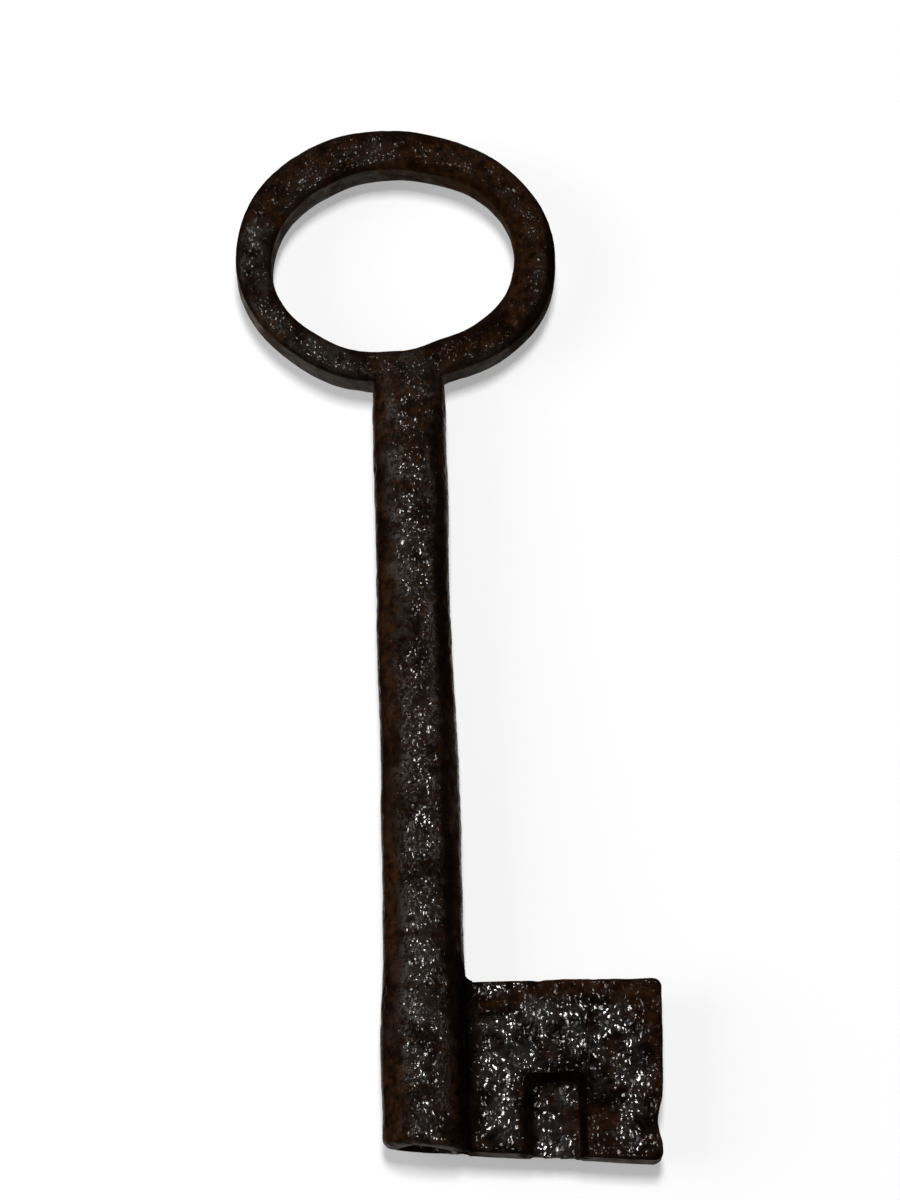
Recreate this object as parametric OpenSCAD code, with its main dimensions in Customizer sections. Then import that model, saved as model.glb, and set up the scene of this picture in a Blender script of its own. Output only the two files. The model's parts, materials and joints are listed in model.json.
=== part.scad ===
// Old forged iron pipe key: an oval bow, a hollow stem and a flat bit with a sunken ward.
// Millimetres. The stem lies along +Y with its mouth at the origin, the bow is at the far end,
// the bit points to +X and the front face looks up along +Z.

/* [Stem] */
// Length of the stem from its mouth to the joint under the bow
stem_length = 108.5; // [90:0.5:160]
// Outside diameter of the stem along the bit
tip_d = 12; // [10.6:0.1:15]
// Outside diameter of the pipe above the bit
pipe_d = 11.6; // [10:0.1:14]
// Outside diameter of the stem below the bow
neck_d = 10.9; // [9.5:0.1:13]
// Length of the step down from the bit to the pipe
step_length = 6; // [3:0.5:10]
// Distance from the mouth to where the pipe starts to draw down
draw_start = 46; // [40:1:55]
// Length over which the pipe draws down to the neck
draw_length = 35; // [15:1:36]
// Rounding of the worn outer edge at the mouth
mouth_round = 1.4; // [0.3:0.1:1.6]

/* [Drill pin bore] */
// Diameter of the bore that drops over the pin in the lock
bore_d = 6.5; // [5:0.1:7.4]
// Depth of the bore
bore_depth = 38; // [28:1:60]

/* [Bow] */
// Outside width of the bow, across the stem
bow_width = 47.6; // [40:0.2:60]
// Outside height of the bow, along the stem
bow_height = 40; // [32:0.1:50]
// Breadth of the bar, seen from the front
bow_bar = 6; // [4.5:0.1:7.5]
// Thickness of the bar, front to back
bow_thick = 7.7; // [6:0.1:10]
// Rounding of the bar's edges
bow_edge = 1.7; // [0.6:0.1:2.2]
// Sideways offset of the bow from the stem
bow_side = -1.7; // [-3:0.1:3]
// Turn of the bow's outline in degrees
bow_turn = -3.5; // [-6:0.5:6]
// Turn of the eye in degrees
eye_turn = 5.5; // [-6:0.5:8]
// Sideways offset of the eye inside the bow
eye_side = -0.3; // [-0.8:0.1:0.8]
// Offset of the eye towards the stem
eye_drop = 0.6; // [0:0.1:1]
// Length of the round neck between the joint and the bar
neck_rise = 4.1; // [2.5:0.1:8]

/* [Joint under the bow] */
// Diameter of the bow's tang
tang_d = 6; // [4:0.1:7]
// Length of the bow's tang
tang_length = 14; // [8:1:24]
// Pocket left below the tang's end
tang_pocket = 0.4; // [0.1:0.1:1]
// Depth of the bevels that hold the brazing at the joint
joint_bevel = 0.9; // [0.4:0.1:1.2]
// Height of the brazing above the stem
braze_crown = 0.12; // [0:0.02:0.3]

/* [Bit] */
// Distance from the stem's axis to the bit's outer edge, at its top
bit_reach = 34; // [28:0.1:45]
// Length of the bit along the stem
bit_length = 23.8; // [18:0.1:30]
// Thickness of the bit
bit_thick = 5; // [4.4:0.1:6]
// Distance from the mouth to the bit's end edge at the stem, outwards
bit_overhang = 0.5; // [0:0.1:1.5]
// Slant of the bit's end edge in degrees
bit_slant = 4.2; // [0:0.2:6]
// Slant of the bit's outer edge in degrees, inwards towards the mouth
edge_slant = 1.5; // [0:0.5:4]
// Radius of the bit's outer corners
bit_corner = 1.4; // [0.9:0.1:3]
// Rounding of the bit's edges
bit_edge = 0.8; // [0.3:0.1:1.1]
// Depth of the worn hollow in the outer edge
dent_depth = 0.7; // [0.1:0.1:1.2]
// Length of that hollow
dent_length = 8.5; // [4:0.5:12]
// Height of the hollow's deepest point above the mouth
dent_place = 3.6; // [2:0.1:12]

/* [Bit root] */
// Gap between the stem and the bit's root, seen as a groove
root_gap = 0.1; // [0.1:0.05:0.5]
// Thickness of the tongue that is let into the stem
tongue_thick = 2.6; // [1.8:0.1:3.2]
// Depth of the tongue below the stem's surface
tongue_depth = 1.5; // [0.8:0.1:1.7]
// Distance of the tongue's end from the bit's top edge
tongue_back = 1.5; // [0.5:0.1:4]
// Height of the brazing up the stem's side, above the tongue
braze_climb = 0.7; // [0.4:0.05:1.2]
// Radius of the brazing in the corner above the bit's top edge
braze_corner = 1.6; // [0.4:0.1:2]

/* [Ward] */
// Distance from the stem's axis to the middle of the ward
ward_x = 18.4; // [14:0.1:24]
// Width of the ward, halfway down its walls
ward_width = 7.3; // [4:0.1:11]
// Height of the ward's end above the mouth, halfway down its wall
ward_height = 9.75; // [5:0.05:14]
// Depth to which each face is sunk
ward_sink = 1.7; // [0.5:0.1:1.7]
// Slope of the ward's walls: how far each one leans out between its floor and the face
ward_draft = 1.1; // [0.1:0.1:2]
// Radius of the ward's inner corners
ward_corner = 0.8; // [0.3:0.1:1.5]

/* [Hidden] */

forged_iron = [0.20, 0.15, 0.12];
bit_iron = [0.23, 0.20, 0.18];
old_brazing = [0.33, 0.22, 0.13];

$fn = 96;
BOW_STATIONS = 84;
EDGE_STEPS = 4;
EASE_STEPS = 8;
CORNER_STEPS = 6;
DENT_STEPS = 10;
OVERLAP = 1;
SLICE = 0.01;

tip_r = tip_d / 2;
pipe_r = pipe_d / 2;
neck_r = neck_d / 2;
bore_r = bore_d / 2;
tang_r = tang_d / 2;
half_bit = bit_thick / 2;
half_tongue = tongue_thick / 2;
tongue_x = tip_r - tongue_depth;
tongue_length = bit_length - tongue_back;
root_x = tip_r + root_gap;

// Smooth step from 0 to 1.
function ease(t) = t * t * (3 - 2 * t);

// A point of an ellipse with half axes a and b, turned by turn degrees about its centre.
function ellipse_point(centre, a, b, turn, t) = [
    centre[0] + a * cos(t) * cos(turn) - b * sin(t) * sin(turn),
    centre[1] + a * cos(t) * sin(turn) + b * sin(t) * cos(turn)
];

// How far below its centre such an ellipse crosses a line parallel to Y, dx to the right of the centre.
function ellipse_drop(dx, a, b, turn) =
    let (
        qa = pow(sin(turn) / a, 2) + pow(cos(turn) / b, 2),
        qb = 2 * dx * sin(turn) * cos(turn) * (1 / (a * a) - 1 / (b * b)),
        qc = pow(dx * cos(turn) / a, 2) + pow(dx * sin(turn) / b, 2) - 1
    )
    (qb + sqrt(qb * qb - 4 * qa * qc)) / (2 * qa);

bow_a = bow_width / 2;
bow_b = bow_height / 2;
eye_a = bow_a - bow_bar;
eye_b = bow_b - bow_bar;
bow_foot_y = stem_length + neck_rise;
bow_centre = [bow_side, bow_foot_y + ellipse_drop(-bow_side, bow_a, bow_b, bow_turn)];
eye_centre = [bow_side + eye_side, bow_centre[1] - eye_drop];

// Height of the eye's lower wall at a distance x from the stem's axis.
function eye_floor_y(x) = eye_centre[1] - ellipse_drop(x - eye_centre[0], eye_a, eye_b, eye_turn);

// Turns a shape that stands on Z so that it lies along the stem, with its base at the mouth.
module along_stem(y = 0) {
    translate([0, y, 0]) rotate([-90, 0, 0]) children();
}

// Points of an arc of radius r about a centre, from angle start to angle end.
function arc(centre, r, start, end, steps) = [
    for (i = [0 : steps]) let (t = start + (end - start) * i / steps) centre + r * [cos(t), sin(t)]
];

// The bar's cross-section: breadth across, thickness up, with rounded edges.
function bar_section(breadth) =
    let (
        x = breadth / 2 - bow_edge,
        z = bow_thick / 2 - bow_edge
    )
    concat(
        arc([x, z], bow_edge, 0, 90, EDGE_STEPS),
        arc([-x, z], bow_edge, 90, 180, EDGE_STEPS),
        arc([-x, -z], bow_edge, 180, 270, EDGE_STEPS),
        arc([x, -z], bow_edge, 270, 360, EDGE_STEPS)
    );

// The section at one station round the bow, set between the eye's outline and the bow's.
function bow_station(t) =
    let (
        outer = ellipse_point(bow_centre, bow_a, bow_b, bow_turn, t),
        inner = ellipse_point(eye_centre, eye_a, eye_b, eye_turn, t),
        middle = (outer + inner) / 2,
        breadth = norm(outer - inner),
        across = (outer - inner) / breadth
    )
    [for (p = bar_section(breadth)) [middle[0] + p[0] * across[0], middle[1] + p[0] * across[1], p[1]]];

// The closed oval bar of the bow.
module bow_ring() {
    sides = 4 * (EDGE_STEPS + 1);
    points = [for (i = [0 : BOW_STATIONS - 1]) each bow_station(360 * i / BOW_STATIONS)];
    faces = [
        for (i = [0 : BOW_STATIONS - 1], j = [0 : sides - 1])
            let (
                next_i = (i + 1) % BOW_STATIONS,
                next_j = (j + 1) % sides,
                a = i * sides + j,
                b = next_i * sides + j,
                c = next_i * sides + next_j,
                d = i * sides + next_j
            )
            each [[a, c, b], [a, d, c]]
    ];
    polyhedron(points = points, faces = faces, convexity = 4);
}

// The round neck under the bow, with its tang. Its dome rounds down over the bar into the eye's wall.
module bow_neck() {
    dome_tip_r = bow_thick / 2 - bow_edge;
    dome_start = bow_foot_y + bow_edge / 2;
    dome_end = min(eye_floor_y(-dome_tip_r), eye_floor_y(dome_tip_r));
    along_stem() rotate_extrude() polygon(concat(
        [
            [0, stem_length - tang_length],
            [tang_r - joint_bevel / 2, stem_length - tang_length],
            [tang_r, stem_length - tang_length + joint_bevel / 2],
            [tang_r, stem_length],
            [neck_r - joint_bevel, stem_length],
            [neck_r, stem_length + joint_bevel]
        ],
        [
            for (i = [0 : EASE_STEPS])
                let (t = 90 * i / EASE_STEPS)
                [dome_tip_r + (neck_r - dome_tip_r) * cos(t), dome_start + (dome_end - dome_start) * sin(t)]
        ],
        [[0, dome_end]]
    ));
}

module bow() {
    color(forged_iron) union() {
        bow_ring();
        bow_neck();
    }
}

// Outside radius of the stem at a distance y from the mouth, above its rounded edge.
function stem_radius(y) =
    y <= bit_length ? tip_r :
    y <= bit_length + step_length ? tip_r + (pipe_r - tip_r) * ease((y - bit_length) / step_length) :
    y <= draw_start ? pipe_r :
    y <= draw_start + draw_length ? pipe_r + (neck_r - pipe_r) * ease((y - draw_start) / draw_length) :
    neck_r;

// The stem's outline from the middle of its mouth to the middle of its top.
function stem_outline() = concat(
    [[0, 0]],
    arc([tip_r - mouth_round, mouth_round], mouth_round, -90, 0, EDGE_STEPS),
    [
        for (i = [0 : EASE_STEPS])
            let (y = bit_length + step_length * i / EASE_STEPS)
            [stem_radius(y), y]
    ],
    [
        for (i = [0 : EASE_STEPS])
            let (y = draw_start + draw_length * i / EASE_STEPS)
            [stem_radius(y), y]
    ],
    [
        [neck_r, stem_length - joint_bevel],
        [neck_r - joint_bevel, stem_length],
        [0, stem_length]
    ]
);

// The stem before it is drilled and slotted.
module stem_blank() {
    along_stem() rotate_extrude() polygon(stem_outline());
}

// The space in the stem that the bit's tongue fills.
module tongue_block(outer_x, below) {
    translate([tongue_x, -below, -half_tongue])
        cube([outer_x - tongue_x, tongue_length + below, tongue_thick]);
}

module stem() {
    socket_y = stem_length - tang_length - tang_pocket;
    color(forged_iron) difference() {
        stem_blank();
        along_stem(-OVERLAP) cylinder(r = bore_r, h = bore_depth + OVERLAP);
        along_stem(socket_y) cylinder(r = tang_r, h = tang_length + tang_pocket + OVERLAP);
        tongue_block(tip_r + OVERLAP, OVERLAP);
    }
}

// Height of the bit's slanted end edge at a distance x from the stem's axis.
function bit_end_y(x) = -bit_overhang - (x - tip_r) * tan(bit_slant);

// The bit's outer edge: straight, with one worn hollow near the mouth end.
function bit_outer_x(y) =
    let (
        t = (y - dent_place) / (dent_length / 2),
        hollow = abs(t) >= 1 ? 0 : dent_depth * pow(cos(90 * t), 2)
    )
    bit_reach - (bit_length - y) * tan(edge_slant) - hollow;

// Centre of the round between the end edge and the outer edge, from a first guess of its x.
function end_corner(x) =
    let (y = bit_end_y(x) + bit_corner / cos(bit_slant))
    [bit_outer_x(y) - bit_corner / cos(edge_slant), y];

// The bit's outline, anticlockwise from its end edge at the root.
function bit_outline() =
    let (
        end_centre = end_corner(end_corner(bit_reach)[0]),
        top_y = bit_length - bit_corner,
        top_centre = [bit_outer_x(top_y) - bit_corner / cos(edge_slant), top_y],
        low = max(dent_place - dent_length / 2, end_centre[1]),
        high = dent_place + dent_length / 2
    )
    concat(
        [[root_x, bit_end_y(root_x)]],
        arc(end_centre, bit_corner, -90 - bit_slant, -edge_slant, CORNER_STEPS),
        [
            for (i = [1 : DENT_STEPS])
                let (y = low + (high - low) * i / DENT_STEPS)
                [bit_outer_x(y), y]
        ],
        arc(top_centre, bit_corner, -edge_slant, 90, CORNER_STEPS),
        [[root_x, bit_length]]
    );

// Inward direction at point i of an anticlockwise outline.
function inward(outline, i) =
    let (
        n = len(outline),
        before = outline[(i + n - 1) % n],
        here = outline[i],
        after = outline[(i + 1) % n],
        u = (here - before) / norm(here - before),
        v = (after - here) / norm(after - here),
        m = [-(u[1] + v[1]), u[0] + v[0]]
    )
    m / (1 + u * v);

// A flat plate with rounded edges, drawn over an anticlockwise outline and centred on z = 0.
module rounded_plate(outline, thickness, edge) {
    n = len(outline);
    angles = concat(
        [for (i = [0 : EDGE_STEPS]) -90 + 90 * i / EDGE_STEPS],
        [for (i = [0 : EDGE_STEPS]) 90 * i / EDGE_STEPS]
    );
    layers = len(angles);
    points = [
        for (k = [0 : layers - 1], i = [0 : n - 1])
            let (
                inset = edge * (1 - cos(angles[k])),
                side = k < layers / 2 ? -1 : 1,
                p = outline[i] + inset * inward(outline, i)
            )
            [p[0], p[1], side * (thickness / 2 - edge) + edge * sin(angles[k])]
    ];
    walls = [
        for (k = [0 : layers - 2], i = [0 : n - 1])
            let (
                j = (i + 1) % n,
                a = k * n + i,
                b = k * n + j,
                c = (k + 1) * n + j,
                d = (k + 1) * n + i
            )
            each [[a, c, b], [a, d, c]]
    ];
    floor_face = [for (i = [0 : n - 1]) i];
    roof_face = [for (i = [n - 1 : -1 : 0]) (layers - 1) * n + i];
    polyhedron(points = points, faces = concat(walls, [floor_face, roof_face]), convexity = 4);
}

// A thin slice of the ward's pocket: its plan with round inner corners, open past the end edge.
module ward_slice(grow) {
    half = ward_width / 2 + grow;
    top = ward_height + grow;
    low = bit_end_y(bit_reach) - OVERLAP;
    linear_extrude(SLICE) hull() {
        for (side = [-1, 1])
            translate([ward_x + side * (half - ward_corner), top - ward_corner])
                circle(r = ward_corner, $fn = 24);
        translate([ward_x - half, low]) square([2 * half, OVERLAP]);
    }
}

// The pocket sunk into the front face, wider at the face than at its floor.
module ward_pocket() {
    hull() {
        translate([0, 0, half_bit - ward_sink]) ward_slice(-ward_draft / 2);
        translate([0, 0, half_bit]) ward_slice(ward_draft / 2);
        translate([0, 0, half_bit + OVERLAP]) ward_slice(ward_draft / 2);
    }
}

module bit() {
    color(bit_iron) difference() {
        union() {
            rounded_plate(bit_outline(), bit_thick, bit_edge);
            tongue_block(root_x + bit_edge, 0);
        }
        ward_pocket();
        mirror([0, 0, 1]) ward_pocket();
    }
}

// The ring of brazing that fills the bevels between the stem and the bow's neck.
module neck_braze() {
    color(old_brazing) along_stem(stem_length) rotate_extrude() polygon([
        [neck_r - joint_bevel, 0],
        [neck_r, -joint_bevel],
        [neck_r + braze_crown, -joint_bevel / 2],
        [neck_r + braze_crown, joint_bevel / 2],
        [neck_r, joint_bevel]
    ]);
}

// One run of brazing, low in the groove between the stem and the bit's rounded root.
module braze_run() {
    climb_z = half_tongue + braze_climb;
    climb_x = sqrt(tip_r * tip_r - climb_z * climb_z);
    root_z = half_bit - bit_edge;
    mirror([0, 1, 0]) rotate([90, 0, 0]) linear_extrude(bit_length - bit_edge) difference() {
        polygon([
            [climb_x - braze_climb, half_tongue],
            [root_x, half_tongue],
            [root_x, root_z],
            [(climb_x + root_x) / 2, (climb_z + root_z) / 2 - braze_climb / 8],
            [climb_x, climb_z],
            [climb_x - braze_climb, climb_z]
        ]);
        circle(r = tip_r, $fn = 4 * $fn);
    }
}

// The brazing in the corner between the stem and the bit's top edge.
module corner_braze() {
    half_height = half_bit - bit_edge;
    corner_x = root_x + braze_corner;
    corner_y = bit_length + braze_corner;
    difference() {
        translate([0, 0, -half_height]) linear_extrude(2 * half_height) polygon(concat(
            [[tip_r - OVERLAP, corner_y], [tip_r - OVERLAP, bit_length]],
            arc([corner_x, corner_y], braze_corner, 270, 180, CORNER_STEPS)
        ));
        stem_blank($fn = 4 * $fn);
    }
}

module bit_braze() {
    color(old_brazing) {
        braze_run();
        mirror([0, 0, 1]) braze_run();
        corner_braze();
    }
}

bow();
stem();
bit();
neck_braze();
bit_braze();
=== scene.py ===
import json
import math

import bmesh
import bpy
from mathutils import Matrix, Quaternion, Vector, noise


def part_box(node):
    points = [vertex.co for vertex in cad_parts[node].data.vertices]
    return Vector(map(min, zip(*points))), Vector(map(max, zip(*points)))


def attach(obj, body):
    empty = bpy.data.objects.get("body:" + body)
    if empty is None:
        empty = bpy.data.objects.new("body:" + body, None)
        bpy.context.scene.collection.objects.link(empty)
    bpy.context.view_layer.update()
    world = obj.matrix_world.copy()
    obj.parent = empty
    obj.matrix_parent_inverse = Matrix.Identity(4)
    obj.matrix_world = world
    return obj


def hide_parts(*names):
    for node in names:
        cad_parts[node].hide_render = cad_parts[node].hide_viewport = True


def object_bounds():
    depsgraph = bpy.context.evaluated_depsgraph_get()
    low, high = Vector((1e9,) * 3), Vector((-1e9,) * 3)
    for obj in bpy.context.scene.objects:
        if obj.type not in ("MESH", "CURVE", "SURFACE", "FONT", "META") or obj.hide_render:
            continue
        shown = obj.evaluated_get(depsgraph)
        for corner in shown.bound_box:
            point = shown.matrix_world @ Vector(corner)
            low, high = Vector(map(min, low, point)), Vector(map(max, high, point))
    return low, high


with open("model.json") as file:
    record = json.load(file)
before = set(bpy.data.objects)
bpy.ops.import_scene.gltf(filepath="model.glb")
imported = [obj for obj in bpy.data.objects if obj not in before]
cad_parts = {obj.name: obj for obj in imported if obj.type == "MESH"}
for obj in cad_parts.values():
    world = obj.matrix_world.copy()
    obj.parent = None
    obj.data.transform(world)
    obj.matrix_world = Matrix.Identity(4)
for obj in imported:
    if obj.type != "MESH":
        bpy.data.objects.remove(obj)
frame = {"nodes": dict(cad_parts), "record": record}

# An old forged iron pipe key, lying on a pale floor and seen from above its bit end.
# The part's frame: the bore's mouth is at the origin, the stem runs along +Y, the bit points
# to +X and the front face looks up. Sizes are millimetres until a mesh or an object takes them.

MM = 0.001
PER_MM = 1000.0
cad_lowest, cad_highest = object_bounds()


def in_metres(x, y, z):
    """A place given in millimetres, as Blender's metres."""
    return Vector((x, y, z)) * MM


def point_camera():
    """The camera stands over the bit end, turned a little, and looks down at the key's middle."""
    data = bpy.data.cameras.new("camera")
    data.lens = 140.96
    data.sensor_width = 36.0
    camera = bpy.data.objects.new("camera", data)
    stand = in_metres(5.289, -113.5, 650.0)
    target = in_metres(5.289, 80.237, 0.0)
    roll = Quaternion((0.0, 0.0, 1.0), -0.02265)
    camera.rotation_mode = "QUATERNION"
    camera.location = stand
    camera.rotation_quaternion = (target - stand).to_track_quat("-Z", "Y") @ roll
    bpy.context.scene.collection.objects.link(camera)
    bpy.context.scene.camera = camera


point_camera()


# The forged shape

# Heights over the stem's end: the foot of the neck, which keeps its shape, the bow's lowest iron and
# the middle of its weld. Above its foot the neck takes on the bow's reshaping over NECK_FADE.
NECK_FOOT = 1.0
NECK_FADE = 4.0
NECK_RISE = 4.1
WELD_HEIGHT = 6.0

# How far the neck's brazing stands proud of the neck
BRAZE_CROWN = 0.12

STEM_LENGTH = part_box("stem")[1].y / MM
STEM_RADIUS = -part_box("stem")[0].x / MM
NECK_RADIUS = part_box("neck_braze")[1].x / MM - BRAZE_CROWN
BORE_RADIUS = frame["record"]["mounts"][0]["dims"]["r_mm"]
BOW_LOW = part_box("bow")[0] / MM
BOW_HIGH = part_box("bow")[1] / MM
BOW_CENTRE = Vector(((BOW_LOW.x + BOW_HIGH.x) / 2, (STEM_LENGTH + NECK_RISE + BOW_HIGH.y) / 2, 0))
BAR_LONGEST = (BOW_HIGH.x - BOW_LOW.x) / 2

# Where the bow's bar was hammered in or stands out: angle from +X, half width in degrees, mm out.
BOW_DENTS = (
    (66, 26, -0.24),
    (112, 22, 0.20),
    (175, 24, -0.20),
    (245, 24, 0.30),
    (296, 20, -0.42),
    (337, 22, 0.30),
)

# How much thinner the bow's bar is at its edges than in its middle: all round, and on its right,
# where it is thinnest in one direction and less so on either side of it, in degrees
BAR_CROWN = 0.10
BAR_CROWN_RIGHT = 0.36
BAR_CROWN_POWER = 2.5
CROWNED_MOST, CROWNED_SPREAD = 10, 110

# In how many directions round the bow's centre the reach of its bar is measured
BAR_DIRECTIONS = 60

# The weld of neck and bow: the iron round its middle is smoothed this many times, each time by half
WELD_MIDDLE = Vector((0.0, STEM_LENGTH + WELD_HEIGHT, 0.0))
WELD_REACH = 9.0
WELD_PASSES = 150
WELD_FACTOR = 0.5

# How far the stem stands towards the bit, where along it that begins and ends, and over what length
STEM_SWAY = 0.43
SWAY_BEGINS, SWAY_GROWS_OVER = 14, 13
SWAY_ENDS, SWAY_FADES_OVER = 54, 20

# The stem's end: its slant and lean, and how far up the stem they reach
MOUTH_SLANT = math.radians(4.2)
MOUTH_LEAN = 0.12
MOUTH_REACH = 10

# The lip of the bore: its wear, the least share of it all round, the side with the most, and how
# wide and deep the worn ring is
LIP_WEAR = 0.7
LIP_LEAST = 0.4
LIP_WORN_SIDE = Vector((0.6, 0.8))
LIP_WIDTH = 1.6
LIP_DEPTH = 2.5

# The stem's end is rounded off, but towards the bit it turns square, from one share of its radius on
# and over another
MOUTH_ROUND = 1.4
SQUARE_FROM = 0.25
SQUARE_OVER = 0.4

# The brazing's end beside the bit: the tongue and the groove that it fills round, the length in which
# it spreads out, and how far it runs on, at the stem and more towards the bit
TONGUE_HALF = 1.3
GROOVE_X = 5.9
FILL_LENGTH = 2
FILL_SPREAD = 1.2
FILL_RUN = 0.12
FILL_RUN_MORE = 0.18
FILL_STEM_X = 5.5
FILL_OVER = 0.9


def ease(t):
    """Smooth step from 0 to 1."""
    t = min(max(t, 0.0), 1.0)
    return t * t * (3 - 2 * t)


def hump(distance, spread):
    """1 at the middle, falling smoothly to 0 at a distance of spread on either side."""
    return 1 - ease(abs(distance) / spread)


def above_neck(p):
    """0 on the stem and the foot of the neck, 1 on the bow."""
    return ease((p.y - STEM_LENGTH - NECK_FOOT) / NECK_FADE)


def degrees_from(middle, arm):
    """How far round the bow an arm points away from a direction, in degrees on either side."""
    return (math.degrees(math.atan2(arm.y, arm.x)) - middle + 180) % 360 - 180


def sway_stem(p):
    """The stem isn't quite straight: its lower half stands a little towards the bit."""
    grown = ease((p.y - SWAY_BEGINS) / SWAY_GROWS_OVER)
    p.x += STEM_SWAY * grown * (1 - ease((p.y - SWAY_ENDS) / SWAY_FADES_OVER))


def slant_mouth(p):
    """The stem's end is filed in line with the end edge of the bit, and back a little underneath."""
    near_end = 1 - ease(p.y / MOUTH_REACH)
    p.y -= p.x * math.tan(MOUTH_SLANT) * near_end
    p.y += max(-p.z, 0.0) * MOUTH_LEAN * near_end


def wear_mouth(p):
    """The lip of the bore is worn wider, most of all on the front and towards the bit."""
    radius = math.hypot(p.x, p.z)
    side = Vector((p.x, p.z)) / max(radius, 0.01)
    worn = LIP_LEAST + (1 - LIP_LEAST) * max(side.dot(LIP_WORN_SIDE), 0.0)
    lip = hump(radius - BORE_RADIUS, LIP_WIDTH) * (1 - ease(p.y / LIP_DEPTH))
    p.x += side.x * LIP_WEAR * worn * lip
    p.z += side.y * LIP_WEAR * worn * lip


def square_mouth(p):
    """Towards the bit, where brazing fills the corner, the stem's end keeps a square edge."""
    radius = math.hypot(p.x, p.z)
    out = (radius - STEM_RADIUS + MOUTH_ROUND) / MOUTH_ROUND
    down = 1 - p.y / MOUTH_ROUND
    if out > 0 and down > 0:
        full = math.hypot(out, down) / max(out, down)
        filled = 1 + (full - 1) * ease((p.x / radius - SQUARE_FROM) / SQUARE_OVER)
        wider = (STEM_RADIUS - MOUTH_ROUND + out * filled * MOUTH_ROUND) / radius
        p.x *= wider
        p.z *= wider
        p.y = MOUTH_ROUND * (1 - down * filled)


def fill_end(p):
    """At the key's end the brazing fills its groove and runs on to the end edge of the bit."""
    near_end = 1 - ease(p.y / FILL_LENGTH)
    above_tongue = max(abs(p.z) - TONGUE_HALF, 0.0)
    p.x += (p.x - GROOVE_X) * FILL_SPREAD * near_end
    p.y -= (FILL_RUN + FILL_RUN_MORE * ease((p.x - FILL_STEM_X) / FILL_OVER)) * near_end
    p.z += math.copysign(above_tongue * near_end, p.z)


def bar_reach():
    """How far from the bow's centre its bar begins and ends, in each direction round it."""
    inner = [math.inf] * BAR_DIRECTIONS
    outer = [0.0] * BAR_DIRECTIONS
    for vertex in frame["nodes"]["bow"].data.vertices:
        arm = vertex.co / MM - BOW_CENTRE
        direction = math.floor(math.atan2(arm.y, arm.x) / math.tau * BAR_DIRECTIONS) % BAR_DIRECTIONS
        reach = math.hypot(arm.x, arm.y)
        inner[direction] = min(inner[direction], reach)
        outer[direction] = max(outer[direction], reach)
    return inner, outer


BAR_INNER, BAR_OUTER = bar_reach()


def crown_bow(p):
    """Rounds the bar's front and back, most of all on its right, so that its middle stands proud."""
    arm = p - BOW_CENTRE
    turn = math.atan2(arm.y, arm.x) / math.tau * BAR_DIRECTIONS - 0.5
    first = math.floor(turn)
    part = turn - first
    near, far = first % BAR_DIRECTIONS, (first + 1) % BAR_DIRECTIONS
    inner = BAR_INNER[near] * (1 - part) + BAR_INNER[far] * part
    outer = min(BAR_OUTER[near] * (1 - part) + BAR_OUTER[far] * part, BAR_LONGEST)
    across = min(abs(2 * (math.hypot(arm.x, arm.y) - inner) / (outer - inner) - 1), 1)
    on_right = hump(degrees_from(CROWNED_MOST, arm), CROWNED_SPREAD)
    crown = BAR_CROWN + (BAR_CROWN_RIGHT - BAR_CROWN) * on_right
    p.z *= 1 - crown * across ** BAR_CROWN_POWER * above_neck(p)


def dent_bow(p):
    """Moves the bar in or out where the hammer left it uneven, but not the neck under it."""
    arm = p - BOW_CENTRE
    arm.z = 0
    out = sum(height * hump(degrees_from(middle, arm), spread) for middle, spread, height in BOW_DENTS)
    p += arm.normalized() * out * above_neck(p)


# The skin of old iron: each layer's spacing and its height or depth. Pits are deep only where rust
# has eaten, in patches of their own spacing. The whole skin lies SKIN_DROP below the node's surface,
# painted rust has bitten RUST_BITE deeper into faces, and lumps are told apart over LUMP_RANGE.

HAMMER_SPACING, HAMMER_HEIGHT = 13.0, 0.16
SCALE_SPACING, SCALE_HEIGHT = 3.4, 0.10
KNOB_SPACING, KNOB_HEIGHT = 1.5, 0.045
GRAIN_SPACING, GRAIN_HEIGHT = 0.9, 0.02
PIT_SPACING, PIT_DEPTH = 2.1, 0.16
PIT_RADIUS = 0.5
EATEN_SPACING, EATEN_CONTRAST = 7.0, 1.6
SKIN_DROP = 0.12
LUMP_RANGE = 0.2
RUST_BITE = 0.22


def lump_height(p):
    """Height of the lumps that rust made: corrosion scale with knobs on it."""
    scale = noise.noise(p / SCALE_SPACING + Vector((7, 3, 1))) * SCALE_HEIGHT
    knobs = noise.noise(p / KNOB_SPACING + Vector((1, 6, 2))) * KNOB_HEIGHT
    return scale + knobs


def skin_height(p, lumps, rough, crest, drop):
    """Height of the skin at a point: hammer work, and the lumps, pits and grain of rust."""
    hammer = noise.noise(p / HAMMER_SPACING) * HAMMER_HEIGHT
    grain = noise.noise(p / GRAIN_SPACING + Vector((2, 9, 4))) * GRAIN_HEIGHT
    eaten = ease(noise.noise(p / EATEN_SPACING + Vector((5, 5, 0))) * EATEN_CONTRAST + 0.5)
    near = noise.voronoi(p / PIT_SPACING)[0][0]
    pit = ease(1 - near / PIT_RADIUS) * PIT_DEPTH * eaten
    return min(hammer + (lump_height(p) * lumps + grain - pit) * rough - drop, crest)


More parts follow.
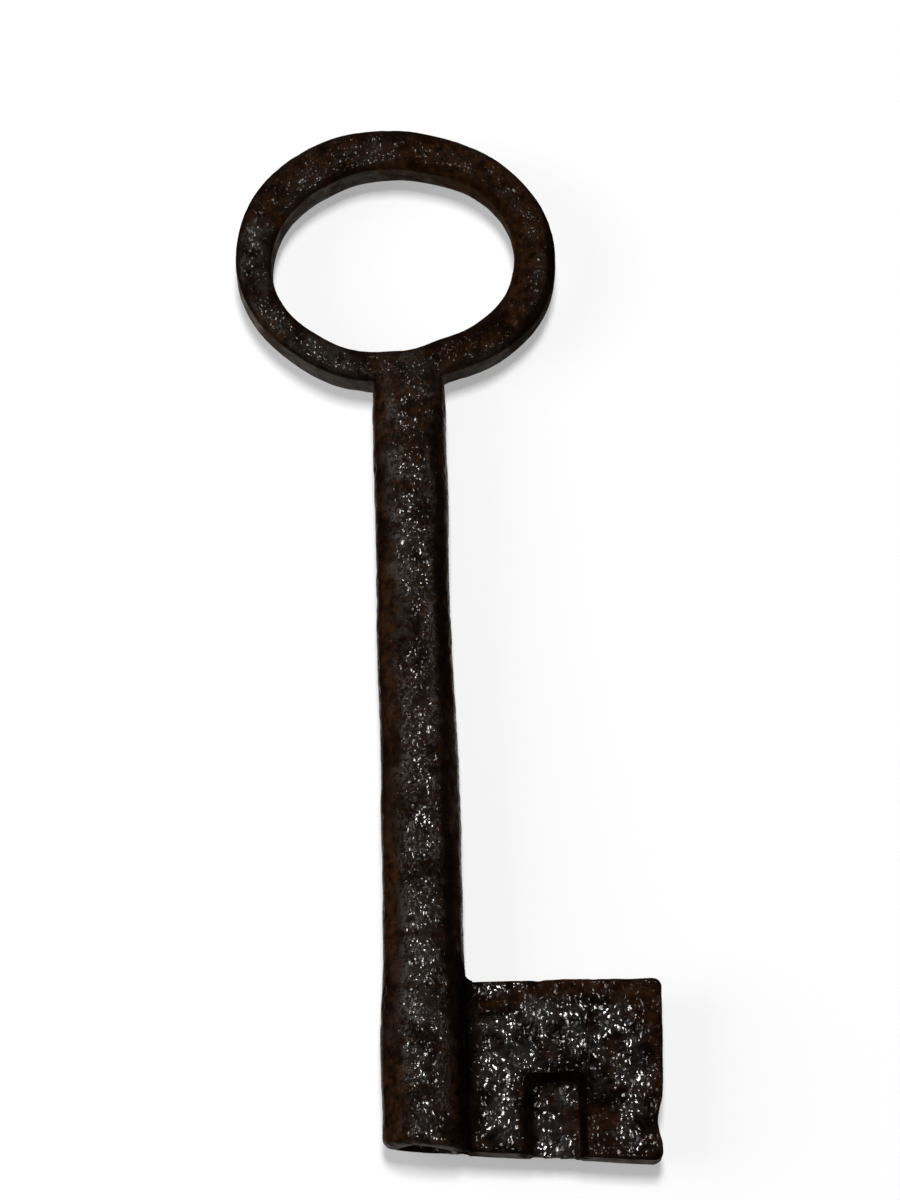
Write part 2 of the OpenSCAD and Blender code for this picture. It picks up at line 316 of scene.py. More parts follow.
# Stains on the iron, as strokes of a brush: from x, y to x, y, half width and strength.
# Rust is orange-brown, bare iron glints, worn iron is smooth and painted lighter for a sheen, soot is
# dull black and also paints shade, and dust lies pale on walls, where it also paints the light on them.
STAINS = {
    "rust": (
        (8.0, 20.0, 12.5, 20.9, 1.5, 1.0),
        (12.5, 20.9, 17.0, 22.9, 1.5, 1.0),
        (17.0, 23.0, 26.0, 22.6, 2.0, 1.0),
        (26.0, 22.6, 32.5, 21.0, 3.0, 0.9),
        (33.3, 20.0, 33.3, 8.0, 2.2, 0.9),
        (26.3, 14.2, 26.8, 11.3, 1.8, 1.0),
        (17.4, 14.4, 17.6, 13.4, 1.6, 0.8),
        (24.3, 4.8, 25.8, 3.4, 1.9, 0.9),
        (13.5, 4.6, 13.5, 2.0, 1.0, 0.8),
        (7.4, 17.0, 7.2, 3.0, 1.1, 0.7),
        (18.0, 8.0, 20.5, 3.0, 1.6, 0.6),
        (-4.5, 11.0, -4.2, 2.0, 2.6, 0.6),
        (-4.5, 106.0, -3.0, 111.0, 3.0, 0.8),
        (0.0, 113.5, 0.0, 98.0, 6.5, 0.4),
        (3.6, 106.0, 3.6, 100.0, 2.2, 0.6),
        (-3.8, 88.0, -3.4, 62.0, 2.0, 0.5),
        (-4.2, 44.0, -4.4, 28.0, 1.8, 0.6),
        (3.0, 150.0, 17.0, 144.0, 4.0, 0.6),
        (18.0, 141.0, 20.0, 128.0, 3.0, 0.5),
        (11.0, 141.5, 16.0, 136.5, 2.4, 0.8),
        (16.0, 136.0, 16.0, 122.0, 2.5, 1.0),
        (12.0, 118.0, 4.0, 114.0, 2.6, 0.5),
        (-19.0, 140.0, -13.0, 146.0, 2.4, 0.4),
        (-8.0, 148.5, 6.0, 148.0, 3.0, 0.4),
        (-3.0, 146.4, 8.0, 144.0, 1.8, 0.8),
        (8.0, 144.0, 14.0, 139.0, 2.0, 0.9),
        (-18.5, 137.5, -15.0, 141.0, 1.4, 0.5),
        (-21.0, 122.5, -19.5, 120.0, 2.2, 0.8),
        (10.0, 114.0, 18.0, 119.0, 1.8, 0.4),
    ),
    "bare": (
        (-3.0, 148.5, -9.0, 147.5, 3.0, 0.8),
        (-14.0, 144.0, -17.0, 140.5, 3.4, 0.9),
        (-22.0, 136.0, -22.5, 130.0, 3.0, 0.9),
        (-21.5, 124.0, -19.0, 120.5, 3.2, 0.8),
        (-16.0, 117.5, -8.0, 113.5, 4.0, 1.0),
        (19.5, 129.5, 19.5, 128.5, 1.6, 0.8),
        (17.5, 120.0, 16.5, 119.0, 2.2, 0.8),
        (13.0, 116.5, 3.0, 112.5, 2.4, 0.9),
        (2.0, 148.7, 12.0, 144.7, 1.5, 0.4),
        (12.0, 144.7, 18.0, 138.0, 1.3, 0.4),
        (18.0, 138.0, 19.5, 130.0, 1.2, 0.4),
        (19.5, 130.0, 18.5, 122.0, 1.3, 0.3),
        (5.7, 107.0, 5.9, 26.0, 1.1, 0.8),
        (-5.7, 106.0, -5.6, 4.0, 0.8, 0.6),
        (0.3, 104.0, 0.3, 2.0, 4.0, 0.45),
        (0.5, 30.0, 0.3, 3.0, 4.0, 1.0),
        (0.0, 113.5, 0.0, 102.0, 6.5, 0.8),
        (0.0, 98.0, 0.0, 84.0, 4.6, 0.7),
        (1.6, 76.0, 1.4, 50.0, 2.4, 0.6),
        (0.8, 46.0, 0.4, 4.0, 3.4, 0.9),
        (10.0, 14.0, 24.0, 16.5, 7.2, 1.0),
        (9.0, 22.6, 14.0, 23.0, 1.6, 0.9),
        (26.0, 19.0, 29.5, 10.0, 4.2, 1.0),
        (10.0, 9.0, 11.0, 2.0, 4.0, 0.8),
        (18.5, 7.0, 18.0, 0.0, 3.4, 1.0),
        (29.0, 6.0, 29.0, 1.0, 2.6, 0.7),
    ),
    # Worn smooth, and painted lighter for a sheen: patches on the bit and the bow's left, a stripe down the
    # stem's middle and a highlight round its lip
    "worn": (
        (15.4, 19.6, 16.8, 18.8, 2.6, 1.0),
        (11.5, 16.5, 9.5, 12.0, 3.0, 0.5),
        (14.5, 14.5, 15.5, 11.5, 2.0, 0.5),
        (29.5, 15.5, 29.0, 11.0, 2.2, 0.35),
        (24.0, 10.0, 24.4, 8.0, 2.0, 0.3),
        (11.5, 6.0, 11.0, 2.0, 2.6, 0.5),
        (-21.8, 137.0, -22.0, 132.5, 2.2, 0.9),
        (-21.4, 129.5, -20.8, 126.5, 1.8, 0.7),
        (-14.0, 118.5, -9.0, 115.5, 2.2, 0.8),
        (-5.2, 0.2, 5.6, -0.4, 0.9, 0.9),
        (-1.4, 88.0, -1.6, 74.0, 2.4, 0.6),
        (1.2, 66.0, 0.6, 58.0, 2.2, 0.5),
        (0.4, 34.0, 0.2, 18.0, 2.6, 0.6),
    ),
    # Soot, and painted shade along the bow's outer top and right edge, down the stem's right flank and
    # beside the bit, and round the ward's walls
    "soot": (
        (-2.5, 151.0, 3.0, 151.0, 1.6, 0.6),
        (17.5, 146.5, 21.5, 138.0, 1.6, 0.8),
        (21.8, 138.0, 21.6, 127.0, 1.7, 0.9),
        (21.6, 127.0, 16.0, 118.5, 1.4, 0.8),
        (3.9, 108.0, 4.3, 20.0, 1.3, 0.9),
        (5.6, 26.0, 6.2, 0.0, 2.4, 1.0),
        (9.2, 18.9, 11.8, 19.2, 1.0, 0.9),
        (14.2, 9.0, 14.0, -1.0, 1.0, 0.9),
        (22.4, 9.0, 22.4, -1.0, 1.0, 0.9),
        (14.5, 9.9, 22.2, 9.9, 1.0, 0.9),
    ),
    # Dust, and painted light where the bow's walls, the stem's right edge, its lip and the bit's end edge
    # catch it
    "dust_and_light": (
        (-25.0, 133.0, -22.5, 119.5, 2.4, 1.0),
        (-22.5, 119.5, -13.0, 112.5, 2.4, 1.0),
        (-13.0, 112.5, -6.0, 111.0, 2.4, 0.8),
        (-19.0, 136.0, -12.5, 143.5, 2.4, 0.8),
        (-12.5, 143.5, -2.0, 146.0, 2.4, 0.5),
        (-2.0, 146.0, 9.0, 143.5, 2.4, 0.4),
        (6.0, 111.5, 14.0, 115.0, 2.2, 0.9),
        (14.0, 115.0, 20.0, 120.5, 2.2, 0.9),
        (12.5, 140.0, 15.5, 131.0, 2.0, 0.6),
        (5.4, 108.0, 5.6, 92.0, 1.3, 0.9),
        (5.6, 92.0, 5.9, 70.0, 1.1, 0.6),
        (5.9, 70.0, 6.1, 32.0, 1.0, 0.4),
        (-5.4, 0.0, 6.0, -0.6, 0.9, 0.6),
        (5.4, 0.6, 6.6, -0.8, 1.0, 0.8),
        (6.0, -0.8, 33.5, -2.6, 0.9, 0.7),
    ),
}

# How far a stroke's edge wanders, over what distance, and how soon a stroke reaches its full strength
STAIN_RAGGED = 0.9
RAGGED_SPACING = 1.7
STAIN_EDGE = 1.35


def stain(p, strokes, ragged):
    """How strongly a point is stained, from 0 to 1. The ragged share shifts the edge of each stroke."""
    share = 0.0
    for x0, y0, x1, y1, reach, strength in strokes:
        widest = reach + STAIN_RAGGED
        if not min(y0, y1) - widest < p.y < max(y0, y1) + widest:
            continue
        if not min(x0, x1) - widest < p.x < max(x0, x1) + widest:
            continue
        along_x, along_y = x1 - x0, y1 - y0
        t = ((p.x - x0) * along_x + (p.y - y0) * along_y) / (along_x ** 2 + along_y ** 2)
        t = min(max(t, 0.0), 1.0)
        away = math.hypot(p.x - x0 - along_x * t, p.y - y0 - along_y * t) + ragged * STAIN_RAGGED
        if away < reach:
            share = max(share, strength * ease(STAIN_EDGE * (1 - away / reach)))
    return share


def rebuild(mesh, name, voxel):
    """A dense piece with a closed mesh's surface, in even faces one voxel across."""
    piece = bpy.data.objects.new(name, mesh)
    bpy.context.scene.collection.objects.link(piece)
    remesh = piece.modifiers.new("remesh", "REMESH")
    remesh.mode = "VOXEL"
    remesh.voxel_size = voxel * MM
    remesh.use_smooth_shade = True
    dense = bpy.data.meshes.new_from_object(piece.evaluated_get(bpy.context.evaluated_depsgraph_get()))
    piece.modifiers.clear()
    piece.data = dense
    bpy.data.meshes.remove(mesh)
    dense.name = name
    return piece


def weld_neck(piece):
    """The neck is hammer-welded into the bow's bar: the crease on front and back is smoothed away."""
    bm = bmesh.new()
    bm.from_mesh(piece.data)
    joint = [
        vertex for vertex in bm.verts
        if (vertex.co / MM - WELD_MIDDLE).length < WELD_REACH
        and vertex.co.y / MM > STEM_LENGTH + NECK_FOOT
    ]
    for _ in range(WELD_PASSES):
        bmesh.ops.smooth_vert(bm, verts=joint, factor=WELD_FACTOR, use_axis_z=True)
    bm.to_mesh(piece.data)
    bm.free()


def forge(piece, shape_moves=(), lumps=1.0, walls=1.0, crest=0.0, drop=SKIN_DROP):
    """Bends a dense piece, roughens its skin and stains it.

    Its faces can have higher lumps and a higher crest, its walls a smoother skin.
    """
    bm = bmesh.new()
    bm.from_mesh(piece.data)
    for vertex in bm.verts:
        p = vertex.co / MM
        for move in shape_moves:
            move(p)
        vertex.co = p * MM
    bm.normal_update()
    layers = {kind: bm.verts.layers.float.new(kind) for kind in STAINS}
    raised = bm.verts.layers.float.new("raised")
    moved = []
    for vertex in bm.verts:
        p = vertex.co / MM
        facing = vertex.normal.z ** 2
        rough = walls + (1 - walls) * facing
        height = skin_height(p, 1 + (lumps - 1) * facing, rough, crest * facing, drop)
        vertex[raised] = 0.5 + lump_height(p) / LUMP_RANGE
        ragged = noise.noise(p / RAGGED_SPACING)
        for kind, strokes in STAINS.items():
            vertex[layers[kind]] = stain(p, strokes, ragged)
        height -= RUST_BITE * vertex[layers["rust"]] * facing
        moved.append(vertex.co + vertex.normal * height * MM)
    for vertex, place in zip(bm.verts, moved):
        vertex.co = place
    bm.to_mesh(piece.data)
    bm.free()


def forged_from_node(node, name, voxel, shape_moves=(), **skin):
    """The piece that stands in a node's place: the node's own surface, bent and roughened."""
    bm = bmesh.new()
    bm.from_mesh(frame["nodes"][node].data)
    bmesh.ops.remove_doubles(bm, verts=bm.verts, dist=0.001 * MM)
    mesh = bpy.data.meshes.new(name)
    bm.to_mesh(mesh)
    bm.free()
    piece = rebuild(mesh, name, voxel)
    if node == "bow":
        weld_neck(piece)
    forge(piece, shape_moves, **skin)
    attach(piece, "root")
    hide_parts(node)
    return piece


# The neck's brazing, from its middle out: distance from the joint, height above the neck
NECK_WASH = ((0.0, 0.05), (1.0, 0.04), (2.0, -0.05), (3.0, -0.2))
NECK_WASH_THICK = 0.9


def make_neck_brazing():
    """Brazing round the joint under the bow, run out thin over the iron on both sides."""
    bm = bmesh.new()
    above = [(NECK_RADIUS + height, STEM_LENGTH + y) for y, height in NECK_WASH]
    below = [(NECK_RADIUS + height, STEM_LENGTH - y) for y, height in reversed(NECK_WASH[1:])]
    bottom = NECK_RADIUS - NECK_WASH_THICK
    inside = [(bottom, above[-1][1]), (bottom, below[0][1])]
    ring = [bm.verts.new(in_metres(radius, y, 0)) for radius, y in below + above + inside]
    edges = [bm.edges.new(pair) for pair in zip(ring, ring[1:] + ring[:1])]
    bmesh.ops.spin(
        bm, geom=ring + edges, cent=(0, 0, 0), axis=(0, 1, 0), angle=math.tau, steps=96, use_merge=True
    )
    bmesh.ops.recalc_face_normals(bm, faces=bm.faces)
    mesh = bpy.data.meshes.new("neck_brazing")
    bm.to_mesh(mesh)
    bm.free()
    piece = rebuild(mesh, "neck_brazing", voxel=0.2)
    forge(piece)
    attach(piece, "root")
    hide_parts("neck_braze")
    return piece


stem = forged_from_node(
    "stem", "forged_stem", voxel=0.26, shape_moves=(square_mouth, wear_mouth, slant_mouth, sway_stem)
)
bow = forged_from_node("bow", "forged_bow", voxel=0.22, shape_moves=(crown_bow, dent_bow), walls=0.35)
bit = forged_from_node("bit", "forged_bit", voxel=0.16, lumps=3.2, walls=0.7, crest=0.12)
bit_brazing = forged_from_node(
    "bit_braze", "bit_brazing", voxel=0.15, shape_moves=(fill_end,), drop=0.02
)
neck_brazing = make_neck_brazing()


# Finishes

class Finish:
    """A material, with short ways to add nodes to it and wire them."""

    def __init__(self, name):
        self.material = bpy.data.materials.new(name)
        self.material.use_nodes = True
        self.tree = self.material.node_tree
        self.shader = self.tree.nodes["Principled BSDF"]

    def add(self, kind, **settings):
        node = self.tree.nodes.new(kind)
        for key, value in settings.items():
            setattr(node, key, value)
        return node

    def plug(self, value, socket):
        if isinstance(value, bpy.types.NodeSocket):
            self.tree.links.new(value, socket)
        else:
            socket.default_value = value

    def maths(self, operation, *values):
        node = self.add("ShaderNodeMath", operation=operation)
        for value, socket in zip(values, node.inputs):
            self.plug(value, socket)
        return node.outputs[0]

    def times(self, first, *others):
        for other in others:
            first = self.maths("MULTIPLY", first, other)
        return first

    def at_least(self, value, least):
        """A share squeezed into the range from least to 1."""
        return self.maths("MULTIPLY_ADD", value, 1 - least, least)

    def less(self, value, loss=1.0):
        """What is left of 1 where a share takes away its part of a loss."""
        return self.maths("MULTIPLY_ADD", value, -loss, 1.0)

    def vectors(self, operation, *values):
        node = self.add("ShaderNodeVectorMath", operation=operation)
        for value, socket in zip(values, node.inputs):
            self.plug(value, socket)
        return node.outputs["Vector"]

    def place(self):
        return self.add("ShaderNodeTexCoord").outputs["Object"]

    def painted(self, layer):
        """The strength of a stain that is painted on the piece's own points."""
        return self.add("ShaderNodeAttribute", attribute_name=layer).outputs["Fac"]

    def noise(self, spacing, detail=2.0, shift=(0, 0, 0), output="Fac"):
        """Noise whose features are spacing millimetres apart."""
        mapping = self.add("ShaderNodeMapping")
        self.plug(self.place(), mapping.inputs["Vector"])
        mapping.inputs["Location"].default_value = shift
        node = self.add("ShaderNodeTexNoise")
        self.plug(mapping.outputs[0], node.inputs["Vector"])
        node.inputs["Scale"].default_value = PER_MM / spacing
        node.inputs["Detail"].default_value = detail
        return node.outputs[output]

    def span(self, value, low, high, to_low=0.0, to_high=1.0):
        node = self.add("ShaderNodeMapRange", interpolation_type="SMOOTHSTEP")
        self.plug(value, node.inputs["Value"])
        node.inputs["From Min"].default_value = low
        node.inputs["From Max"].default_value = high
        node.inputs["To Min"].default_value = to_low
        node.inputs["To Max"].default_value = to_high
        return node.outputs["Result"]

    def patches(self, pattern, between=0.0, inside=1.0):
        """The patches of a pattern, with a value between them and one inside them."""
        spacing, detail, shift, begins, full = pattern
        return self.span(self.noise(spacing, detail, shift), begins, full, between, inside)

    def mix(self, share, first, second):
        node = self.add("ShaderNodeMix", data_type="RGBA")
        self.plug(share, node.inputs["Factor"])
        self.plug(first, node.inputs["A"])
        self.plug(second, node.inputs["B"])
        return node.outputs["Result"]


# Black scale, also the colour of painted shade in hollows, on edges and under soot
BLACK_SCALE_AND_SHADE = (0.0022, 0.0012, 0.0008, 1)
DARK_RUST = (0.0078, 0.0031, 0.0015, 1)
BROWN_RUST = (0.0170, 0.0070, 0.0030, 1)
ORANGE_RUST = (0.0400, 0.0145, 0.0042, 1)
# Bare iron, and worn iron painted lighter for the sheen on it
BROWN_IRON = (0.0125, 0.0098, 0.0072, 1)
BROWN_IRON_WORN_SHEEN = (0.0225, 0.0190, 0.0150, 1)
GREY_IRON = (0.0130, 0.0110, 0.0098, 1)
GREY_IRON_WORN_SHEEN = (0.0230, 0.0218, 0.0205, 1)
# Pale dust and rust on walls, with the light that falls on the walls painted in
LIT_DRY_WALL = (0.1700, 0.1520, 0.1280, 1)
LIT_RUSTY_WALL = (0.0700, 0.0340, 0.0140, 1)

# Patterns in the rust, iron and dust: spacing in mm, detail, shift, and the noise at which a patch
# begins and is full
RUST_TONES = (2.0, 4.0, (0, 0, 0), 0.36, 0.64)
RUST_FLECKS = (1.1, 4.0, (3, 1, 0), 0.38, 0.70)
POLISHED_PATCHES = (1.8, 4.0, (5, 2, 1), 0.30, 0.55)
WORN_AND_SHEEN_PATCHES = (1.4, 4.0, (2, 2, 5), 0.35, 0.60)
DUST_AND_LIGHT_GRAIN = (1.6, 4.0, (1, 4, 2), 0.30, 0.60)
DUST_AND_LIGHT_GAPS = (2.8, 5.0, (6, 0, 3), 0.40, 0.62)
WALL_RUST = (2.8, 5.0, (6, 0, 3), 0.36, 0.56)

# Clusters of lumps: half from the skin's own lumps and half from noise, which has its own pattern
LUMP_NOISE_SPACING, LUMP_NOISE_DETAIL, LUMP_NOISE_SHIFT = 2.6, 3.0, (0.2, 0.8, 0)
CLUSTER_BEGINS, CLUSTER_FULL = 0.40, 0.57

# How upright a normal is where walls and faces begin and end, from 0 on a wall to 1 on a face
WALL, WALL_ENDS = 0.12, 0.42
FACE_BEGINS, FACE = 0.50, 0.97
EDGE, EDGE_ENDS = 0.80, 0.96

# What stains take away: from the glint, from the crust's grains, and from the colour under soot and its
# painted shade
RUST_DULLS = 0.6
WEAR_DULLS = 0.5
WEAR_SMOOTHS = 0.3
SOOT_AND_SHADE_HIDES = 0.85

# How rough the iron is where it is rusty and where it is polished, and the polish that it takes
RUSTY_ROUGH, POLISHED_ROUGH, POLISH_FULL = 1.0, 0.45, 0.8

# The crust's grains: how far they wander from even rows in mm, over what spacing, and how far each
# bulges. A finer grain lies over them.
CRUST_DRIFT = 3.0
CRUST_DRIFT_SPACING, CRUST_DRIFT_DETAIL = 5.0, 3.0
CRUST_CROWN = (0.34, 0.20, 0.34)
FINE_GRAIN_SPACING, FINE_GRAIN_DETAIL, FINE_GRAIN_HEIGHT = 0.5, 1.0, 0.045


class OldIron(Finish):
    """Waxed old iron: brown rust, black dirt and painted shade, pale dust and painted light on its walls,
    and glinting on its faces.
    """

    def __init__(self, name, look):
        super().__init__(name)
        self.look = look
        self.rust = self.painted("rust")
        self.bare = self.painted("bare")
        self.worn = self.painted("worn")
        self.soot = self.painted("soot")
        self.rust_free = self.less(self.rust, RUST_DULLS)
        split = self.add("ShaderNodeSeparateXYZ")
        self.plug(self.add("ShaderNodeNewGeometry").outputs["Normal"], split.inputs[0])
        self.upright = self.maths("ABSOLUTE", split.outputs["Z"])
        self.faces = self.span(self.upright, FACE_BEGINS, FACE)
        self.walls = self.span(self.upright, WALL, WALL_ENDS, 1.0, 0.0)
        lump_noise = self.noise(LUMP_NOISE_SPACING, LUMP_NOISE_DETAIL, LUMP_NOISE_SHIFT)
        lumps = self.maths("MULTIPLY_ADD", self.painted("raised"), 0.5, self.times(lump_noise, 0.5))
        self.clusters = self.span(lumps, CLUSTER_BEGINS, CLUSTER_FULL)
        patchy = self.patches(POLISHED_PATCHES, between=0.5)
        self.polished = self.times(self.bare, patchy, self.at_least(self.clusters, 0.6))

    def dirt_and_shade(self):
        """Painted shade, partly black dirt, in the hollows between lumps and along the edges."""
        in_hollows = self.times(self.less(self.clusters), self.rust_free, self.look["grime_and_shade"])
        edges = self.maths("SUBTRACT", self.less(self.span(self.upright, EDGE, EDGE_ENDS)), self.walls)
        on_edges = self.times(edges, self.look["edge_dirt_and_shade"], self.rust_free)
        return self.maths("MAXIMUM", in_hollows, on_edges)

    def dust_and_light(self):
        """Dust and painted light on the walls: where it was painted, with gaps, and thinly where the look
        has it.
        """
        painted = self.times(self.painted("dust_and_light"), self.patches(DUST_AND_LIGHT_GAPS, between=1.0, inside=0.45))
        lying = self.maths("MAXIMUM", painted, self.look["dust_and_light"])
        side = self.span(self.upright, WALL, self.look["dust_and_light_ends"], 1.0, 0.0)
        return self.times(side, lying, self.patches(DUST_AND_LIGHT_GRAIN, between=0.45))

    def colour(self):
        """Rust, then bare iron, dirt with painted shade, worn iron with a painted sheen, orange flecks,
        dust with painted light, and soot with painted shade, each over the last.
        """
        colour = self.mix(self.patches(RUST_TONES), DARK_RUST, BROWN_RUST)
        colour = self.mix(self.polished, colour, self.look["iron"])
        # Painted shade, partly black dirt, in hollows and on edges
        colour = self.mix(self.dirt_and_shade(), colour, BLACK_SCALE_AND_SHADE)
        # Worn iron, painted lighter for its sheen
        colour = self.mix(self.times(self.worn, self.patches(WORN_AND_SHEEN_PATCHES)), colour, self.look["worn_iron"])
        flecks = self.times(self.patches(RUST_FLECKS), self.at_least(self.rust, 0.2))
        colour = self.mix(self.times(flecks, self.look["speckle"]), colour, ORANGE_RUST)
        lit_rusty_side = self.times(self.rust, self.patches(WALL_RUST, between=0.3))
        # Dust on the walls, with the light that falls on them painted in
        colour = self.mix(self.dust_and_light(), colour, self.mix(lit_rusty_side, LIT_DRY_WALL, LIT_RUSTY_WALL))
        # Soot, with painted shade
        return self.mix(self.times(self.soot, SOOT_AND_SHADE_HIDES), colour, BLACK_SCALE_AND_SHADE)

    def wax(self):
        """Wax on the lumps of the faces, most of all on bare iron, and on the walls."""
        on_lumps = self.times(
            self.at_least(self.clusters, 0.2),
            self.at_least(self.bare, 0.15),
            self.rust_free,
            self.look["wax"],
        )
        on_walls = self.times(self.walls, self.at_least(self.bare, 0.4), self.look["edge_wax"])
        clean = self.times(self.less(self.soot), self.less(self.worn, WEAR_DULLS))
        return self.times(self.maths("MAXIMUM", self.times(self.faces, on_lumps), on_walls), clean)

    def grains(self, strength):
        """A normal broken into uneven crust grains, each tilted its own way."""
        spacing, tilt = self.look["grain"], self.look["tilt"]
        drift = self.noise(CRUST_DRIFT_SPACING, CRUST_DRIFT_DETAIL, output="Color")
        drift = self.vectors("SUBTRACT", drift, (0.5, 0.5, 0.5))
        drift = self.vectors("MULTIPLY", drift, (CRUST_DRIFT * MM,) * 3)
        place = self.vectors("ADD", self.place(), drift)
        cell = self.add("ShaderNodeTexVoronoi", feature="F1")
        self.plug(place, cell.inputs["Vector"])
        cell.inputs["Scale"].default_value = PER_MM / spacing
        lean = self.vectors("SUBTRACT", cell.outputs["Color"], (0.5, 0.5, 0.5))
        lean = self.vectors("MULTIPLY", lean, (2 * tilt,) * 3)
        bulge = self.vectors("SUBTRACT", place, cell.outputs["Position"])
        bulge = self.vectors("MULTIPLY", bulge, [bend * PER_MM / spacing for bend in CRUST_CROWN])
        turned = self.add("ShaderNodeVectorMath", operation="SCALE")
        self.plug(self.vectors("ADD", lean, bulge), turned.inputs[0])
        self.plug(strength, turned.inputs["Scale"])
        normal = self.add("ShaderNodeNewGeometry").outputs["Normal"]
        return self.vectors("NORMALIZE", self.vectors("ADD", normal, turned.outputs["Vector"]))

    def crust(self):
        """The normal of the crust: its grains, flatter on walls and where worn, with a finer one on top."""
        strength = self.times(
            self.at_least(self.faces, self.look["side_crust"]), self.less(self.worn, WEAR_SMOOTHS)
        )
        fine = self.add("ShaderNodeBump")
        fine.inputs["Strength"].default_value = 1.0
        fine.inputs["Distance"].default_value = FINE_GRAIN_HEIGHT * MM
        self.plug(self.noise(FINE_GRAIN_SPACING, FINE_GRAIN_DETAIL), fine.inputs["Height"])
        self.plug(self.grains(strength), fine.inputs["Normal"])
        return fine.outputs[0]


def old_iron(name, look):
    """The material of a piece of old iron or old brazing with a look of its own."""
    iron = OldIron(name, look)
    shader = iron.shader.inputs
    iron.plug(iron.colour(), shader["Base Color"])
    iron.plug(iron.wax(), shader["Coat Weight"])
    shader["Coat Roughness"].default_value = look["gloss"]
    shader["Coat IOR"].default_value = look["shine"]
    iron.plug(iron.span(iron.polished, 0.0, POLISH_FULL, RUSTY_ROUGH, POLISHED_ROUGH), shader["Roughness"])
    shader["Specular IOR Level"].default_value = 0.0
    crust = iron.crust()
    iron.plug(crust, shader["Normal"])
    iron.plug(crust, shader["Coat Normal"])
    return iron.material


def paint(piece, material):
    piece.data.materials.clear()
    piece.data.materials.append(material)


# The looks. iron and worn iron are colours, the worn one painted lighter for a sheen. wax and
# edge_wax: how much wax is on faces and on walls, shine: its index of refraction, gloss: its roughness.
# grain and tilt: how wide the crust's grains are in mm and how far they lean, side_crust: how much of
# that is left on walls. grime and edge dirt: painted shade, partly black dirt, in hollows and on edges.
# speckle: orange flecks. dust: pale dust and painted light on every wall, and dust ends: how upright a
# surface is where it no longer lies.
STEM_LOOK = {
    "iron": BROWN_IRON,
    "worn_iron": BROWN_IRON_WORN_SHEEN,
    "wax": 0.95,
    "edge_wax": 0.6,
    "shine": 1.6,
    "gloss": 0.20,
    "grain": 0.44,
    "tilt": 0.48,
    "side_crust": 0.9,
    "grime_and_shade": 0.7,
    "edge_dirt_and_shade": 0.0,
    "speckle": 1.0,
    "dust_and_light": 0.0,
    "dust_and_light_ends": 0.6,
}
BOW_LOOK = {
    "iron": BROWN_IRON,
    "worn_iron": BROWN_IRON_WORN_SHEEN,
    "wax": 0.45,
    "edge_wax": 0.04,
    "shine": 1.6,
    "gloss": 0.20,
    "grain": 0.40,
    "tilt": 0.46,
    "side_crust": 0.3,
    "grime_and_shade": 0.7,
    "edge_dirt_and_shade": 0.5,
    "speckle": 0.7,
    "dust_and_light": 0.35,
    "dust_and_light_ends": 0.42,
}
BIT_LOOK = {
    "iron": GREY_IRON,
    "worn_iron": GREY_IRON_WORN_SHEEN,
    "wax": 1.0,
    "edge_wax": 0.15,
    "shine": 1.65,
    "gloss": 0.18,
    "grain": 0.64,
    "tilt": 0.36,
    "side_crust": 0.6,
    "grime_and_shade": 1.0,
    "edge_dirt_and_shade": 0.5,
    "speckle": 0.4,
    "dust_and_light": 0.0,
    "dust_and_light_ends": 0.42,
}
BIT_BRAZING_LOOK = {
    **BOW_LOOK,
    "iron": GREY_IRON,
    "worn_iron": GREY_IRON_WORN_SHEEN,
    "side_crust": 0.6,
    "speckle": 0.5,
    "dust_and_light": 0.0,
}
paint(stem, old_iron("stem_iron", STEM_LOOK))
paint(bow, old_iron("bow_iron", BOW_LOOK))
paint(bit, old_iron("bit_iron", BIT_LOOK))
paint(neck_brazing, old_iron("neck_brazing", STEM_LOOK))
paint(bit_brazing, old_iron("bit_brazing", BIT_BRAZING_LOOK))


# Floor, lamps and sky, all in metres

KEY_MIDDLE = Vector((0.005, 0.08, 0))
FLOOR_HALF_SIZE = 3.0
FLOOR_COLOUR = (0.66, 0.66, 0.66, 1)
# The floor's lift to white: the point it is measured from, the distances between which it grows, and
# its strength at each
LIFT_MIDDLE = (0.0, 0.08, 0.0)
LIFT_NEAR, LIFT_FAR = 0.1, 1.0
LIFT_LEAST, LIFT_MOST = 0.36, 1.0
# The height over the horizon where the white surround ends and where it has turned to dim sky, and
# the strength of each
HORIZON_WHITE, HORIZON_ENDS = 0.13, 0.26
SURROUND_STRENGTH, OVERHEAD_STRENGTH = 1.0, 0.03


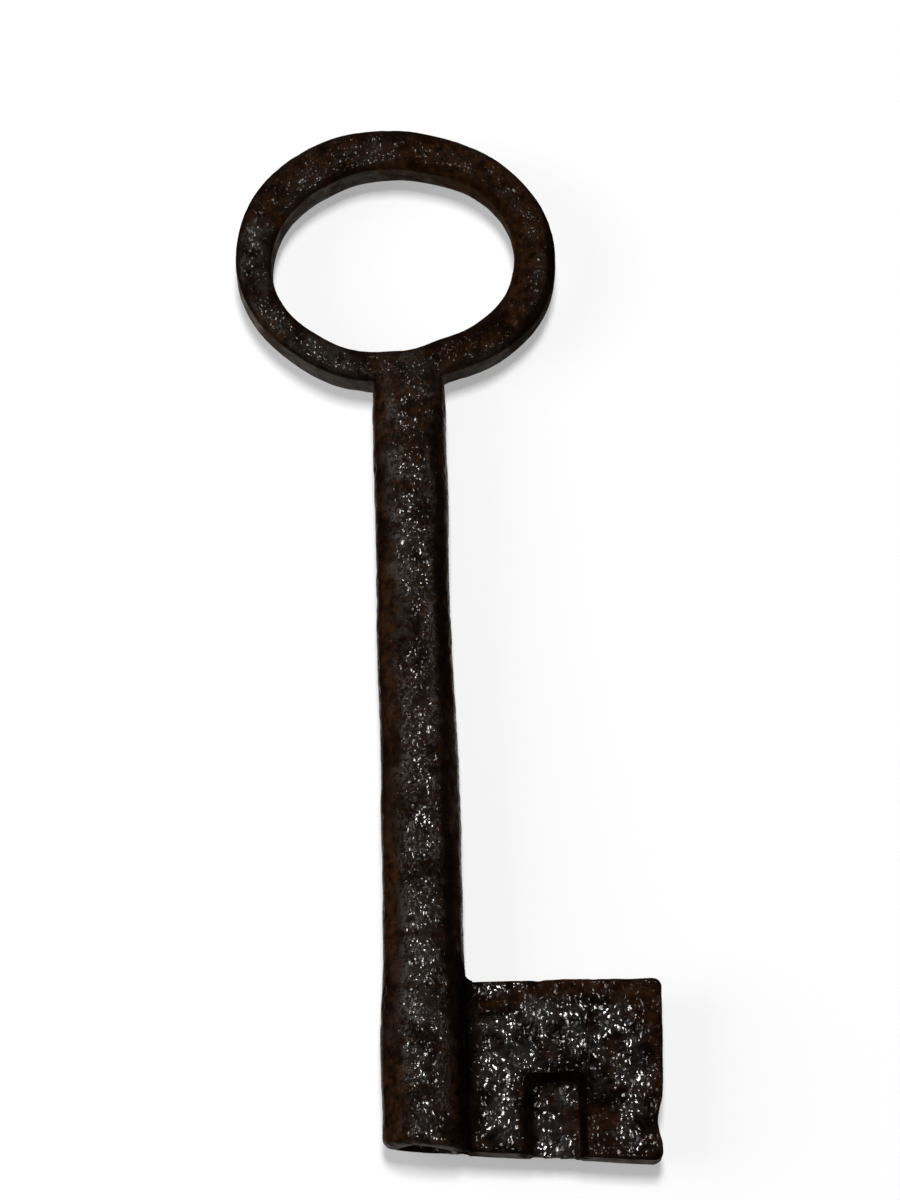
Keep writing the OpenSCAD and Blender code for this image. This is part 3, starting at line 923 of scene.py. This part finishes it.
def lay_floor():
    """A plain white floor, lifted to white as it is seen, and more so far from the lamps."""
    mesh = bpy.data.meshes.new("floor")
    bm = bmesh.new()
    bmesh.ops.create_grid(bm, x_segments=1, y_segments=1, size=FLOOR_HALF_SIZE)
    bmesh.ops.translate(bm, verts=bm.verts, vec=Vector((0, 0, cad_lowest.z)))
    bm.to_mesh(mesh)
    bm.free()
    floor = bpy.data.objects.new("floor", mesh)
    bpy.context.scene.collection.objects.link(floor)
    white = Finish("floor")
    white.shader.inputs["Base Color"].default_value = FLOOR_COLOUR
    white.shader.inputs["Roughness"].default_value = 1.0
    white.shader.inputs["Specular IOR Level"].default_value = 0.0
    path = white.add("ShaderNodeLightPath").outputs
    seen = white.maths("MAXIMUM", path["Is Camera Ray"], path["Is Glossy Ray"])
    seen = white.maths("MAXIMUM", seen, path["Is Transmission Ray"])
    away = white.add("ShaderNodeVectorMath", operation="DISTANCE")
    white.plug(white.place(), away.inputs[0])
    white.plug(LIFT_MIDDLE, away.inputs[1])
    lift = white.span(away.outputs["Value"], LIFT_NEAR, LIFT_FAR, LIFT_LEAST, LIFT_MOST)
    white.shader.inputs["Emission Color"].default_value = (1, 1, 1, 1)
    white.plug(white.times(seen, lift), white.shader.inputs["Emission Strength"])
    paint(floor, white.material)


def hang_lamp(name, place, breadth, height, power):
    """A soft box lamp that looks at the key's middle."""
    data = bpy.data.lights.new(name, "AREA")
    data.shape = "RECTANGLE"
    data.size = breadth
    data.size_y = height
    data.energy = power
    lamp = bpy.data.objects.new(name, data)
    lamp.location = place
    lamp.rotation_mode = "QUATERNION"
    lamp.rotation_quaternion = (KEY_MIDDLE - lamp.location).to_track_quat("-Z", "Y")
    bpy.context.scene.collection.objects.link(lamp)


def light_sky():
    """A surround that is white round the horizon and dim overhead."""
    world = bpy.data.worlds.new("sky")
    world.use_nodes = True
    bpy.context.scene.world = world
    tree = world.node_tree
    place = tree.nodes.new("ShaderNodeTexCoord")
    split = tree.nodes.new("ShaderNodeSeparateXYZ")
    tree.links.new(place.outputs["Generated"], split.inputs[0])
    fade = tree.nodes.new("ShaderNodeMapRange")
    fade.interpolation_type = "SMOOTHSTEP"
    tree.links.new(split.outputs["Z"], fade.inputs["Value"])
    fade.inputs["From Min"].default_value = HORIZON_WHITE
    fade.inputs["From Max"].default_value = HORIZON_ENDS
    fade.inputs["To Min"].default_value = SURROUND_STRENGTH
    fade.inputs["To Max"].default_value = OVERHEAD_STRENGTH
    tree.links.new(fade.outputs["Result"], tree.nodes["Background"].inputs["Strength"])
    tree.nodes["Background"].inputs["Color"].default_value = (1, 1, 1, 1)


lay_floor()
light_sky()
hang_lamp("main_lamp", Vector((0.02, 0.24, 1.15)), breadth=0.17, height=0.28, power=11.0)
hang_lamp("left_lamp", Vector((-0.95, 0.05, 0.6)), breadth=0.8, height=0.8, power=4.0)

bpy.context.scene.view_settings.view_transform = "Standard"
